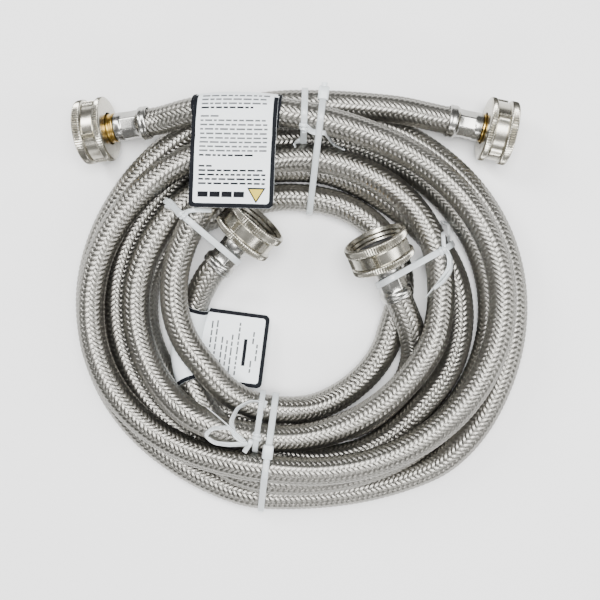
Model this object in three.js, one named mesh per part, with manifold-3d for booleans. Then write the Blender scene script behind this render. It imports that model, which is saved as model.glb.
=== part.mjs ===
// A pair of braided stainless-steel supply hoses, coiled together and tied for storage.
// Millimetres, +Z up. The coil lies flat on z = 0. Every hose end carries a swivel nut.
import * as THREE from "three";
import { mergeVertices } from "three/addons/utils/BufferGeometryUtils.js";
import Module from "manifold-3d";

// ---------------------------------------------------------------- the coil
const RING_HALF_X = 108.7; // half axes of the oval the outermost turn follows
const RING_HALF_Y = 99;
const HOSE_RADIUS = 6.75; // outside of the woven braid
const PILE_APEX = 520; // the pile leans in toward a point this high above its centre
const PILE_MIDDLE = 16; // the height where a spread of 1 is exactly on the oval
const FRAME_SHIFT = new THREE.Vector3(1.29, 0.945, -0.176); // puts the origin under the middle of the whole

// Turns of each hose, clockwise from its first end: [angle in degrees, spread of the oval, height].
const OUTER_TURNS = [
  [115, 1.01, 25.5], [105, 0.957, 30.5], [93, 0.912, 33], [85, 0.88, 32], [75, 0.86, 31],
  [60, 0.86, 29], [45, 0.865, 28], [30, 0.875, 29], [15, 0.89, 29], [0, 0.897, 29],
  [-15, 0.89, 30], [-30, 0.885, 30], [-45, 0.875, 30], [-60, 0.862, 30], [-75, 0.85, 30],
  [-90, 0.835, 30], [-105, 0.83, 28], [-120, 0.877, 24], [-132, 0.91, 21], [-145, 0.94, 20],
  [-160, 0.955, 20], [-180, 0.94, 20], [-195, 0.925, 20], [-210, 0.9, 20], [-225, 0.88, 20],
  [-235, 0.865, 20], [-250, 0.835, 18], [-262, 0.815, 11], [-270, 0.8, 7], [-285, 0.805, 7],
  [-300, 0.81, 7], [-315, 0.81, 7], [-330, 0.815, 7], [-345, 0.83, 7], [-360, 0.842, 7],
  [-375, 0.85, 7], [-390, 0.855, 7], [-405, 0.85, 8], [-420, 0.85, 14], [-435, 0.855, 18],
  [-450, 0.855, 18], [-465, 0.84, 16], [-480, 0.82, 10], [-500, 0.82, 7], [-520, 0.835, 7],
  [-540, 0.835, 7], [-555, 0.83, 7], [-570, 0.815, 7], [-585, 0.815, 7], [-595, 0.83, 7],
  [-610, 0.87, 7], [-620, 0.905, 7], [-630, 0.92, 7], [-645, 0.92, 8], [-660, 0.905, 12],
  [-675, 0.915, 16], [-690, 0.925, 17], [-705, 0.93, 17], [-720, 0.93, 17], [-735, 0.935, 17],
  [-750, 0.935, 16], [-765, 0.938, 13], [-780, 0.935, 10], [-795, 0.925, 7], [-810, 0.913, 7],
  [-825, 0.92, 7], [-840, 0.92, 7], [-870, 0.93, 7], [-900, 0.93, 7], [-930, 0.93, 7],
  [-945, 0.94, 9], [-955, 0.94, 13], [-970, 0.935, 18], [-980, 0.925, 20], [-990, 0.922, 20],
  [-1000, 0.935, 20], [-1008, 0.97, 19],
];
const INNER_TURNS = [
  [-22, 0.54, 14], [-34, 0.61, 8], [-48, 0.665, 7], [-60, 0.685, 7], [-75, 0.68, 7],
  [-90, 0.665, 7], [-110, 0.665, 7], [-130, 0.675, 7], [-150, 0.69, 7], [-180, 0.695, 7],
  [-200, 0.68, 7], [-215, 0.63, 7], [-228, 0.57, 7], [-240, 0.54, 7], [-255, 0.535, 7],
  [-270, 0.535, 7], [-285, 0.53, 7], [-300, 0.51, 7], [-315, 0.495, 7], [-330, 0.48, 7],
  [-345, 0.465, 7], [-360, 0.45, 7], [-375, 0.445, 7], [-390, 0.455, 7], [-405, 0.47, 7],
  [-420, 0.487, 7], [-435, 0.52, 8], [-450, 0.565, 12], [-465, 0.58, 16], [-480, 0.59, 19],
  [-495, 0.588, 20], [-510, 0.58, 20], [-540, 0.573, 20], [-555, 0.585, 21], [-570, 0.6, 23],
  [-585, 0.635, 30], [-600, 0.68, 32], [-615, 0.7, 27], [-630, 0.695, 22], [-645, 0.685, 20],
  [-660, 0.675, 20], [-675, 0.668, 20], [-690, 0.65, 20], [-705, 0.62, 20], [-720, 0.595, 20],
  [-735, 0.588, 21], [-750, 0.588, 21], [-765, 0.6, 21], [-780, 0.617, 20], [-795, 0.645, 20],
  [-810, 0.675, 21], [-825, 0.7, 24], [-840, 0.72, 28], [-855, 0.735, 26], [-870, 0.74, 22],
  [-900, 0.733, 20], [-915, 0.72, 20], [-930, 0.7, 20], [-945, 0.69, 19], [-960, 0.67, 14],
  [-975, 0.645, 9], [-990, 0.62, 7], [-1005, 0.61, 7], [-1020, 0.6, 7], [-1035, 0.605, 7],
  [-1050, 0.63, 7], [-1065, 0.675, 7], [-1080, 0.705, 7], [-1095, 0.73, 7], [-1110, 0.767, 7],
  [-1125, 0.79, 7], [-1140, 0.81, 7], [-1155, 0.81, 7], [-1170, 0.79, 7], [-1185, 0.765, 9],
  [-1200, 0.74, 12], [-1215, 0.69, 12], [-1230, 0.61, 10], [-1245, 0.53, 10], [-1256, 0.49, 12],
];

// ---------------------------------------------------------------- the fittings, along one hose end
// Lengths run from the hose side edge of the crimp ferrule toward the mouth of the nut.
const BRAID_END = 3.6;
const TUBE_END = 13.2;
const MOUTH_BACK = 32; // the mouth when the nut is slid back onto the hose
const NUT_FLOAT = 2.1; // how far the nut can slide forward from there
const STRAIGHT = 7; // the hose leaves the ferrule straight for this far
const WASHER_BACK = 7.5; // the washer's back face behind the mouth
const WASHER_THICK = 2.2;
const NUT_LENGTH = 14;
const NUT_RADIUS = 15.8;
const THREAD_MINOR = 12.75; // 3/4 inch garden hose thread, 11.5 to the inch
const THREAD_MAJOR = 13.5;
const THREAD_PITCH = 2.21;
const THREAD_TURNS = 3;
const NUT_SIDES = 20;
const ROUND_SIDES = 16;

// The four ends: the middle of the nut's mouth, the way the mouth faces, and how far forward the nut sits.
const ENDS = {
  outer_start: { mouth: [-106, 80.8, 15.8], facing: [-0.966, -0.12, -0.17], forward: NUT_FLOAT },
  outer_end: { mouth: [101.2, 80.2, 15.9], facing: [0.98, -0.2, -0.04], forward: 0 },
  inner_start: { mouth: [33.5, 29.2, 32.6], facing: [-0.39, 0.87, 0.29], forward: 0 },
  inner_end: { mouth: [-20.2, 38.5, 27.8], facing: [0.655, 0.71, 0.235], forward: 0 },
};

// ---------------------------------------------------------------- laying the coil
const STRAND_SPACING = 13.5; // strands that touch are this far apart
const SWEEP_STEP = 2.5; // degrees between samples of a turn
const SAMPLE_STEP = 5; // distance between the points of a route
const SETTLE_ROUNDS = 320;
const SETTLE_REFRESH = 20;
const BEND_PASSES = 4; // how stiffly a hose carries a push along itself, in each round
const BEND_SHARE = 0.45;
const GUIDE_SHARE = 0.004; // how strongly it keeps to its guide
const SETTLE_REACH = 8;
const PINNED = 2; // points held at each end of a hose
const NEIGHBOURS = 9; // points this near along one hose never push each other
const HOSE_STEPS = 76;
const HOSE_SIDES = 8;
const STRAP_LOOK = 3.2; // a strap clears everything this far to either side of it
const STRAP_LIFT = 1.5; // the hoses rise this much where a strap runs under them
const STRAP_ROOM = 0.9; // and lie this much further apart where one runs between them
const STRAP_REACH = 12;

// Ties around the bundle: a vertical plane from one plan point to another, and the strap's width.
const CABLE_WIDTH = 3.8;
const STRIP_WIDTH = 3.6;
const CABLE_THICK = 1.1;
const STRIP_THICK = 0.7;
const STRAP_CLEAR = 7.1; // the strap's inside face lies this far from the middle of a strand
const TIES = {
  top_cable: { from: [10.9, 104], to: [3.6, 42], width: CABLE_WIDTH, thick: CABLE_THICK },
  top_strip: { from: [1.6, 106], to: [0.6, 72], width: STRIP_WIDTH, thick: STRIP_THICK },
  bottom_cable: { from: [-19.4, -97], to: [-12.4, -45], width: CABLE_WIDTH, thick: CABLE_THICK },
  bottom_strip: { from: [-22.8, -76], to: [-18.2, -42], width: STRIP_WIDTH, thick: STRIP_THICK, above: 15 },
  right_strip: { from: [39, 8.6], to: [72.5, 27], width: STRIP_WIDTH, thick: STRIP_THICK },
  left_strip: { from: [-32.2, 19.4], to: [-65.4, 47.8], width: STRIP_WIDTH, thick: STRIP_THICK },
};

// Where a label is wrapped round a hose, in plan, and the extra room it takes.
const SLEEVES = {
  caution_label: { from: [-48, 89.5], to: [-11, 87.5] },
  maker_label: { from: [-55.5, -36], to: [-54, -6] },
};
const SLEEVE_ROOM = 2;

const vec = (list) => new THREE.Vector3(...list);
const clamp = (value, low, high) => Math.min(high, Math.max(low, value));

function ovalPoint([angle, spread, height]) {
  const lean = (PILE_APEX - height) / (PILE_APEX - PILE_MIDDLE);
  const turn = THREE.MathUtils.degToRad(angle);
  const x = RING_HALF_X * spread * lean * Math.cos(turn);
  const y = RING_HALF_Y * spread * lean * Math.sin(turn);
  return new THREE.Vector3(x, y, height);
}

// A running mean over a list of numbers, with a window that shrinks at both ends.
function soften(values, reach, passes) {
  let list = values;
  for (let pass = 0; pass < passes; pass++) {
    list = list.map((_, i) => {
      const room = Math.min(reach, i, list.length - 1 - i);
      const window = list.slice(i - room, i + room + 1);
      return window.reduce((a, b) => a + b, 0) / window.length;
    });
  }
  return list;
}

// The turns of one hose as points a few degrees apart, its corners rounded off.
function turnPoints(turns) {
  const first = turns[0][0];
  const swept = first - turns[turns.length - 1][0];
  const count = Math.round(swept / SWEEP_STEP);
  const angles = Array.from({ length: count + 1 }, (_, i) => first - (swept * i) / count);
  const between = (angle, column) => {
    const later = turns.findIndex((t) => t[0] < angle);
    const k = later < 1 ? turns.length - 1 : later;
    const share = (turns[k - 1][0] - angle) / (turns[k - 1][0] - turns[k][0]);
    return turns[k - 1][column] + share * (turns[k][column] - turns[k - 1][column]);
  };
  const spreads = soften(angles.map((a) => between(a, 1)), 3, 3);
  const heights = soften(angles.map((a) => between(a, 2)), 2, 3);
  return angles.map((a, i) => ovalPoint([a, spreads[i], heights[i]]));
}

// Points an even distance apart along a chain of straight pieces.
function evenPoints(points, step) {
  const along = [0];
  for (let i = 1; i < points.length; i++) {
    along.push(along[i - 1] + points[i].distanceTo(points[i - 1]));
  }
  const total = along[along.length - 1];
  const count = Math.round(total / step);
  const out = [];
  let k = 1;
  for (let i = 0; i <= count; i++) {
    const s = (total * i) / count;
    while (k < points.length - 1 && along[k] < s) k++;
    const share = (s - along[k - 1]) / (along[k] - along[k - 1]);
    out.push(points[k - 1].clone().lerp(points[k], share));
  }
  return out;
}

function facing(end) {
  return vec(end.facing).normalize();
}

// A place on the axis of an end, at a distance from the ferrule's hose side edge toward the mouth.
function onAxis(end, distance) {
  const back = distance - MOUTH_BACK - end.forward;
  return vec(end.mouth).addScaledVector(facing(end), back);
}

const bend = (points, i) =>
  points[i - 1].clone().add(points[i + 1]).multiplyScalar(0.5).sub(points[i]);

// The guide a hose would follow if nothing pushed it.
function guideRoute(start, turns, end) {
  const raw = [onAxis(start, 0), onAxis(start, -STRAIGHT)];
  raw.push(...turnPoints(turns), onAxis(end, -STRAIGHT), onAxis(end, 0));
  let points = evenPoints(raw, SAMPLE_STEP);
  for (const weight of Array(14).fill([0.5, -0.52]).flat()) {
    points = points.map((p, i) => {
      const held = i < PINNED || i >= points.length - PINNED;
      return held ? p : p.clone().addScaledVector(bend(points, i), weight);
    });
  }
  return points;
}

// How far a plan point is from a line given by its two ends.
function lineDistance(line, p) {
  const a = new THREE.Vector2(...line.from);
  const along = new THREE.Vector2(...line.to).sub(a);
  const from = new THREE.Vector2(p.x, p.y).sub(a);
  const share = clamp(from.dot(along) / along.lengthSq(), 0, 1);
  return from.sub(along.multiplyScalar(share)).length();
}

// One beside any of some lines, falling to zero away from them.
function beside(lines, p) {
  const near = Math.min(...Object.values(lines).map((line) => lineDistance(line, p)));
  return Math.exp(-((Math.max(near - CABLE_WIDTH, 0) / STRAP_REACH) ** 2));
}

// Pushes strands that would run into each other apart, and lets everything else follow its guide.
function settle(guides) {
  const guide = guides.flat();
  const hose = guides.flatMap((g, h) => g.map(() => h));
  const order = guides.flatMap((g) => g.map((_, i) => i));
  const held = guides.flatMap((g) => g.map((_, i) => i < PINNED || i >= g.length - PINNED));
  const inside = guides.flatMap((g) => g.map((_, i) => i > 0 && i < g.length - 1));
  const floor = guide.map((p) => HOSE_RADIUS + STRAP_LIFT * beside(TIES, p));
  const room = guide.map((p) => Math.max(STRAP_ROOM * beside(TIES, p), SLEEVE_ROOM * beside(SLEEVES, p)));
  const spacing = room.map((more) => STRAND_SPACING + more);
  let points = guide.map((p) => p.clone());
  let pairs = [];
  const nearPairs = () => {
    const out = [];
    for (let i = 0; i < points.length; i++) {
      for (let j = i + 1; j < points.length; j++) {
        if (hose[i] === hose[j] && Math.abs(order[i] - order[j]) < NEIGHBOURS) continue;
        if (points[i].distanceTo(points[j]) < STRAND_SPACING + SETTLE_REACH) out.push([i, j]);
      }
    }
    return out;
  };
  const push = () => {
    const sum = points.map(() => new THREE.Vector3());
    const met = points.map(() => 0);
    for (const [i, j] of pairs) {
      const apart = points[i].clone().sub(points[j]);
      const gap = Math.min(spacing[i], spacing[j]) - apart.length();
      if (gap <= 0) continue;
      apart.setLength(gap / 2);
      sum[i].add(apart);
      sum[j].sub(apart);
      met[i]++;
      met[j]++;
    }
    points.forEach((p, i) => {
      if (!held[i] && met[i]) p.addScaledVector(sum[i], 1 / Math.sqrt(met[i]));
      if (!held[i]) p.z = Math.max(p.z, floor[i]);
    });
  };
  for (let round = 0; round < SETTLE_ROUNDS; round++) {
    if (round % SETTLE_REFRESH === 0) pairs = nearPairs();
    for (let pass = 0; pass < BEND_PASSES; pass++) {
      points = points.map((p, i) => {
        if (held[i] || !inside[i]) return p;
        const lag = bend(points, i).sub(bend(guide, i));
        return p.clone().addScaledVector(lag, BEND_SHARE).lerp(guide[i], GUIDE_SHARE);
      });
    }
    push();
    push();
  }
  let at = 0;
  return guides.map((g) => points.slice(at, (at += g.length)));
}

const [OUTER_ROUTE, INNER_ROUTE] = settle([
  guideRoute(ENDS.outer_start, OUTER_TURNS, ENDS.outer_end),
  guideRoute(ENDS.inner_start, INNER_TURNS, ENDS.inner_end),
]);

// ---------------------------------------------------------------- solids
const wasm = await Module();
wasm.setup();

function toSolid(geometry) {
  const plain = geometry.clone();
  plain.deleteAttribute("normal");
  plain.deleteAttribute("uv");
  const merged = mergeVertices(plain, 1e-3);
  const vertProperties = merged.attributes.position.array;
  const triVerts = new Uint32Array(merged.index.array);
  return new wasm.Manifold(new wasm.Mesh({ numProp: 3, vertProperties, triVerts }));
}

function toGeometry(solid) {
  const mesh = solid.getMesh();
  const geometry = new THREE.BufferGeometry();
  geometry.setAttribute("position", new THREE.BufferAttribute(mesh.vertProperties, 3));
  geometry.setIndex(new THREE.BufferAttribute(mesh.triVerts, 1));
  return geometry;
}

function joined(geometries) {
  return toGeometry(geometries.map(toSolid).reduce((a, b) => a.add(b)));
}

const steel = { color: 0xb9bab8, metalness: 0.9, roughness: 0.35 };
const nickel = { color: 0xcfcabd, metalness: 0.95, roughness: 0.25 };
const brass = { color: 0xb88a3c, metalness: 0.9, roughness: 0.3 };
const rubber = { color: 0x1c1c1c, metalness: 0, roughness: 0.8 };
const liner = { color: 0x8d8f90, metalness: 0, roughness: 0.6 };
const nylon = { color: 0xe8ecec, metalness: 0, roughness: 0.4 };
const vinyl = { color: 0xf2f2ee, metalness: 0, roughness: 0.5 };

const root = new THREE.Group();
root.name = "braided_supply_line_pair";

function piece(name, geometry, finish) {
  const mesh = new THREE.Mesh(geometry, new THREE.MeshStandardMaterial(finish));
  mesh.name = name;
  root.add(mesh);
  return mesh;
}

// A round body about the Z axis from a closed outline of [radius, height] corners.
function turned(outline, sides = ROUND_SIDES) {
  const corners = [...outline, outline[0]].map(([r, z]) => new THREE.Vector2(r, z));
  return new THREE.LatheGeometry(corners, sides).rotateX(Math.PI / 2);
}

// Stands a piece made along Z on the axis of an end, its origin at the given distance.
function placed(mesh, end, distance) {
  mesh.position.copy(onAxis(end, distance));
  mesh.quaternion.setFromUnitVectors(new THREE.Vector3(0, 0, 1), facing(end));
}

// ---------------------------------------------------------------- hoses
// A path through the given points, with one section at each of them.
class RoutePath extends THREE.Curve {
  constructor(points) {
    super();
    this.points = points;
  }

  getPoint(t, target = new THREE.Vector3()) {
    const place = clamp(t, 0, 1) * (this.points.length - 1);
    const k = Math.min(Math.floor(place), this.points.length - 2);
    return target.copy(this.points[k]).lerp(this.points[k + 1], place - k);
  }

  getUtoTmapping(u) {
    return u;
  }
}

function polygon(shape, radius, sides) {
  for (let i = 0; i < sides; i++) {
    const turn = (2 * Math.PI * i) / sides;
    const x = radius * Math.cos(turn);
    const y = radius * Math.sin(turn);
    if (i === 0) shape.moveTo(x, y);
    else shape.lineTo(x, y);
  }
  shape.closePath();
  return shape;
}

// A pipe of straight facets; its outside is drawn in a little so that strands laid side by side stay clear.
function pipe(points, outside, inside, sides = HOSE_SIDES) {
  const ring = polygon(new THREE.Shape(), outside, sides);
  ring.holes.push(polygon(new THREE.Path(), inside, sides));
  const steps = points.length - 1;
  return new THREE.ExtrudeGeometry(ring, { steps, extrudePath: new RoutePath(points) });
}

const BRAID_OUTSIDE = 6;
const BRAID_INSIDE = 5.35;
const TUBE_OUTSIDE = 4.95;
const TUBE_INSIDE = 3.9;

function hose(name, route, start, end) {
  const middle = evenPoints(route, SAMPLE_STEP / 5);
  const spaced = evenPoints(middle, middle.length / HOSE_STEPS).slice(1, -1);
  const braid = [onAxis(start, BRAID_END), ...spaced, onAxis(end, BRAID_END)];
  const tube = [onAxis(start, TUBE_END), ...braid, onAxis(end, TUBE_END)];
  piece(name + "_braid", pipe(braid, BRAID_OUTSIDE, BRAID_INSIDE), steel);
  piece(name + "_inner_tube", pipe(tube, TUBE_OUTSIDE, TUBE_INSIDE), liner);
}

// ---------------------------------------------------------------- end fittings
function ferrule() {
  return turned([
    [7, 0], [7.5, 0], [7.9, 0.8], [7.9, 3.6], [6.6, 5.2], [6.45, 9.2], [6.6, 13.2],
    [6.85, 13.7], [6.85, 16.5], [5.1, 16.5], [5.5, 15], [5.5, 4.8], [7, 4.2],
  ]);
}

function stem() {
  return turned([
    [2.4, 3], [3.2, 3.6], [3.2, 13.6], [4.6, 13.6], [4.6, 16.9], [6.9, 16.9], [6.9, 17.7],
    [6.2, 18], [6.2, 18.7], [6.9, 19], [6.9, 22.7], [12.1, 22.7], [12.1, 24.2], [4.4, 24.2],
    [2.4, 18],
  ]);
}

function washer() {
  return turned([[8, 0], [12.3, 0], [12.3, WASHER_THICK], [8, WASHER_THICK]]);
}

// The nut about its own axis: its mouth at zero, its back wall below.
function nut() {
  const thread = [];
  for (let i = 0; i < THREAD_TURNS; i++) {
    const z = -0.5 - i * THREAD_PITCH;
    thread.push([THREAD_MINOR, z - THREAD_PITCH / 2], [THREAD_MAJOR, z - THREAD_PITCH]);
  }
  const outline = [
    [7.6, -NUT_LENGTH], [14.8, -NUT_LENGTH], [15.6, -13.4], [15.6, -11.2], [13.9, -10.4],
    [13.9, -4.4], [NUT_RADIUS, -3.6], [NUT_RADIUS, -0.5], [15.3, 0], [13.9, 0],
    ...thread, [THREAD_MINOR, -8.2], [THREAD_MINOR, -11.8], [7.6, -11.8],
  ];
  return turned(outline, NUT_SIDES);
}

function fittings(name, end) {
  placed(piece(name + "_ferrule", ferrule(), steel), end, 0);
  placed(piece(name + "_stem", stem(), brass), end, 0);
  const mouth = MOUTH_BACK + end.forward;
  placed(piece(name + "_washer", washer(), rubber), end, mouth - WASHER_BACK);
  placed(piece(name + "_nut", nut(), nickel), end, mouth);
}

// ---------------------------------------------------------------- straps
const EVERY_SAMPLE = [OUTER_ROUTE, INNER_ROUTE].flatMap((r) => evenPoints(r, 1));
for (const end of Object.values(ENDS)) {
  for (let d = 0; d <= 18; d++) EVERY_SAMPLE.push(onAxis(end, d));
}

// The corners of the tightest outline round a set of plan points, in order.
function hull(points) {
  const sorted = points.slice().sort((a, b) => a.x - b.x || a.y - b.y);
  const half = (list) => {
    const out = [];
    for (const p of list) {
      while (out.length > 1) {
        const a = out[out.length - 2];
        const b = out[out.length - 1];
        if ((b.x - a.x) * (p.y - a.y) - (b.y - a.y) * (p.x - a.x) > 1e-6) break;
        out.pop();
      }
      out.push(p);
    }
    out.pop();
    return out;
  };
  return [...half(sorted), ...half(sorted.slice().reverse())];
}

// The outline round discs of one radius at the given middles.
function around(middles, radius, corners = 16) {
  const points = [];
  for (const m of middles) {
    for (let i = 0; i < corners; i++) {
      const turn = (2 * Math.PI * (i + 0.5)) / corners;
      points.push(new THREE.Vector2(m.x + radius * Math.cos(turn), m.y + radius * Math.sin(turn)));
    }
  }
  return hull(points);
}

// Where the strands pass through the upright plane of a tie: distance along the plane, and height.
function crossings(tie) {
  const start = new THREE.Vector2(...tie.from);
  const along = new THREE.Vector2(...tie.to).sub(start);
  const length = along.length();
  along.divideScalar(length);
  const across = new THREE.Vector2(-along.y, along.x);
  const out = [];
  for (const p of EVERY_SAMPLE) {
    const from = new THREE.Vector2(p.x, p.y).sub(start);
    const s = from.dot(along);
    const near = Math.abs(from.dot(across)) < tie.width / 2 + STRAP_LOOK;
    const held = p.z > (tie.above ?? 0);
    if (near && held && s > 0 && s < length) out.push(new THREE.Vector2(s, p.z));
  }
  return out;
}

// Turns plan X into the tie's plane, plan Y into height and depth across it.
function tieFrame(tie) {
  const start = new THREE.Vector3(...tie.from, 0);
  const along = new THREE.Vector3(...tie.to, 0).sub(start).normalize();
  const up = new THREE.Vector3(0, 0, 1);
  const across = along.clone().cross(up);
  const frame = new THREE.Matrix4().makeBasis(along, up, across);
  return frame.setPosition(start.addScaledVector(across, -tie.width / 2));
}

function band(tie, middles) {
  const outline = new THREE.Shape(around(middles, STRAP_CLEAR + tie.thick));
  outline.holes.push(new THREE.Path(around(middles, STRAP_CLEAR)));
  const loop = new THREE.ExtrudeGeometry(outline, { depth: tie.width, bevelEnabled: false });
  return loop.applyMatrix4(tieFrame(tie));
}

// The height of a strap's top face at a distance along it.
function strapTop(tie, middles, s) {
  const near = around(middles, STRAP_CLEAR + tie.thick);
  let top = 0;
  near.forEach((a, i) => {
    const b = near[(i + 1) % near.length];
    if ((a.x - s) * (b.x - s) > 0 || a.x === b.x) return;
    top = Math.max(top, a.y + ((b.y - a.y) * (s - a.x)) / (b.x - a.x));
  });
  return top;
}

const HEAD = { length: 6.2, width: 6.4, height: 4.6 };

// A cable tie: a loop with the square locking head standing on it and the cut tail past the head.
function cableTie(name, tie, headAt) {
  const middles = crossings(tie);
  const lift = strapTop(tie, middles, headAt) - tie.thick + HEAD.height / 2;
  const head = new THREE.BoxGeometry(HEAD.length, HEAD.height, HEAD.width);
  head.translate(headAt, lift, tie.width / 2).applyMatrix4(tieFrame(tie));
  const tail = new THREE.BoxGeometry(HEAD.length, tie.thick, tie.width * 0.9);
  tail.translate(headAt - HEAD.length * 0.8, lift, tie.width / 2).applyMatrix4(tieFrame(tie));
  piece(name, joined([band(tie, middles), head, tail]), nylon);
}

// The top of the pile over a plan point.
function pileTop(x, y, reach = HOSE_RADIUS + 2) {
  let top = 0;
  for (const p of EVERY_SAMPLE) {
    const off = Math.hypot(p.x - x, p.y - y);
    if (off < reach) top = Math.max(top, p.z + Math.sqrt(reach * reach - off * off));
  }
  return top;
}

// A flat tail lying over the pile through plan points.
function tail(places, lift) {
  const points = places.map(([x, y]) => new THREE.Vector3(x, y, pileTop(x, y) + lift));
  const path = new THREE.CatmullRomCurve3(points);
  const flat = new THREE.Shape();
  flat.moveTo(-0.5, -1.5).lineTo(0.5, -1.5).lineTo(0.5, 1.5).lineTo(-0.5, 1.5).closePath();
  return new THREE.ExtrudeGeometry(flat, { steps: 3 * (places.length - 1), extrudePath: path });
}

// A strip tied by hand: a loop, a knot on it and its loose tails.
function stripTie(name, tie, knotAt, tails) {
  const middles = crossings(tie);
  const knot = new THREE.IcosahedronGeometry(1, 1).scale(3.6, 2.4, 3.2);
  knot.translate(knotAt, strapTop(tie, middles, knotAt) + 0.8, tie.width / 2);
  knot.applyMatrix4(tieFrame(tie));
  piece(name, joined([band(tie, middles), knot, ...tails]), nylon);
}

// ---------------------------------------------------------------- labels
const LABEL_THICK = 0.45;
const LABEL_INSIDE = 7.5; // inside radius of the loop a label makes round its hose
const LABEL_SIDES = 12;
const LABEL_STEP = 6;

// The strand of a hose nearest a place, as far each way as a label is long.
function strandAt(route, place, length) {
  const fine = evenPoints(route, 1);
  const off = fine.map((p) => p.distanceTo(place));
  const middle = off.indexOf(Math.min(...off));
  const half = Math.round(length / 2);
  return evenPoints(fine.slice(middle - half, middle + half + 1), LABEL_STEP);
}

// A label: a sheet wrapped round the hose, its two halves stuck together as a flag on one side.
// The flag leaves the loop at a height over the hose's middle and reaches a distance from it.
function label(name, route, { place, out, height, length, reach }) {
  const strand = strandAt(route, vec(place), length);
  const middle = strand[Math.round(strand.length / 2)];
  const run = strand[strand.length - 1].clone().sub(strand[0]);
  const outward = vec(out).normalize();
  const along = run.addScaledVector(outward, -run.dot(outward)).normalize();
  const up = outward.clone().cross(along);
  if (up.z < 0) {
    along.negate();
    up.negate();
  }
  const frame = new THREE.Matrix4().makeBasis(outward, along, up).setPosition(middle);
  const local = strand.map((p) => p.clone().applyMatrix4(frame.clone().invert()));
  const side = height > 0 ? 0 : LABEL_INSIDE;
  const edge = local.map((p) => new THREE.Vector2(p.x + side, p.y));
  const first = edge[0].y;
  const last = edge[edge.length - 1].y;
  const sheet = new THREE.Shape([...edge, new THREE.Vector2(reach, last), new THREE.Vector2(reach, first)]);
  const flag = new THREE.ExtrudeGeometry(sheet, { depth: 2 * LABEL_THICK, bevelEnabled: false });
  flag.translate(0, 0, height - LABEL_THICK).applyMatrix4(frame);
  const loop = pipe(strand, LABEL_INSIDE + LABEL_THICK, LABEL_INSIDE, LABEL_SIDES);
  piece(name, joined([loop, flag]), vinyl);
}

// ---------------------------------------------------------------- assembly
hose("outer_hose", OUTER_ROUTE, ENDS.outer_start, ENDS.outer_end);
hose("inner_hose", INNER_ROUTE, ENDS.inner_start, ENDS.inner_end);
for (const [name, end] of Object.entries(ENDS)) fittings(name, end);
cableTie("top_cable_tie", TIES.top_cable, 12);
cableTie("bottom_cable_tie", TIES.bottom_cable, 27);
stripTie("top_strip_tie", TIES.top_strip, 25, [
  tail([[1, 80.5], [-7, 76], [-13, 77.5]], 0.6),
]);
stripTie("bottom_strip_tie", TIES.bottom_strip, 15, [
  tail([[-22, -64], [-31, -66], [-42, -59]], 0.6),
]);
stripTie("right_strip_tie", TIES.right_strip, 31, [
  tail([[66, 23.5], [68.5, 14], [64.5, 5]], 0.6),
  tail([[66, 23.5], [68.5, 30], [72, 36]], 0.6),
]);
stripTie("left_strip_tie", TIES.left_strip, 31, [
  tail([[-57, 38.5], [-64, 41], [-68, 47]], 0.6),
  tail([[-57, 38.5], [-64, 47], [-63, 54]], 0.6),
]);
label("caution_label", OUTER_ROUTE, {
  place: [-29.5, 89.5, 33], out: [-0.04, -1, 0.03], height: 7.2, length: 39.5, reach: 46,
});
label("maker_label", INNER_ROUTE, {
  place: [-57, -19, 11], out: [0.995, -0.09, -0.06], height: 0, length: 36, reach: 37,
});

root.position.copy(FRAME_SHIFT);

export default root;
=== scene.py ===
"""Looks of a tied pair of braided supply hoses: woven steel braid, plated swivel nuts, ties and labels."""

import math

import bpy
import numpy as np
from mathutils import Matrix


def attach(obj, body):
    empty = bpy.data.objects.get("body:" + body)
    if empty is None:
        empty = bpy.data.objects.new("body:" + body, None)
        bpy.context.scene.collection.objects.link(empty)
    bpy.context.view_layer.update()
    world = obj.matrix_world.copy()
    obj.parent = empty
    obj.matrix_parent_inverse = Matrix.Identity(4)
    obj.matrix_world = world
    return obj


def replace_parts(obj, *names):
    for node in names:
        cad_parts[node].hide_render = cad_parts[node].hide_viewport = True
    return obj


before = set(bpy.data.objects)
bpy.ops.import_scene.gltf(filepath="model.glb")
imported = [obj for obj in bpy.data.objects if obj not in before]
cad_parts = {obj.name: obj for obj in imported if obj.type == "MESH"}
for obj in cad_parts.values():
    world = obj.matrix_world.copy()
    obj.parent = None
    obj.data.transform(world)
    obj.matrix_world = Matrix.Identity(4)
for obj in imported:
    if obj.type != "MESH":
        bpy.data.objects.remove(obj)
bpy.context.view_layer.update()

MM = 0.001
COIL = "coil"  # the body everything rides on, apart from the nuts and their washers
FULL_TURN = 2 * math.pi

# ------------------------------ camera, light and floor
CAMERA_HEIGHT = 520 * MM
CAMERA_LENS = 62.6
ROOM_LIGHT = 0.16  # how brightly the room lights the object
ROOM_SEEN = 0.75  # how bright the room is where it shows
VIEW_OFFSET = np.array([-0.97, 0, 0]) * MM  # the camera stands this far beside the middle of the coil
FRAME_SHIFT = np.array([1.29, 0.945, -0.176])  # as in the CAD: puts the origin under the whole


def camera():
    data = bpy.data.cameras.new("camera")
    data.lens = CAMERA_LENS
    eye = bpy.data.objects.new("camera", data)
    eye.location = FRAME_SHIFT * MM + VIEW_OFFSET
    eye.location.z = CAMERA_HEIGHT
    bpy.context.collection.objects.link(eye)
    bpy.context.scene.camera = eye


def area_light(name, place, size, power, aim=(0, 0, 0)):
    data = bpy.data.lights.new(name, "AREA")
    data.shape = "RECTANGLE"
    data.size, data.size_y = size
    data.energy = power
    lamp = bpy.data.objects.new(name, data)
    lamp.location = place
    toward = lamp.location - type(lamp.location)(aim)
    lamp.rotation_euler = toward.to_track_quat("Z", "Y").to_euler()
    bpy.context.collection.objects.link(lamp)


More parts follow.
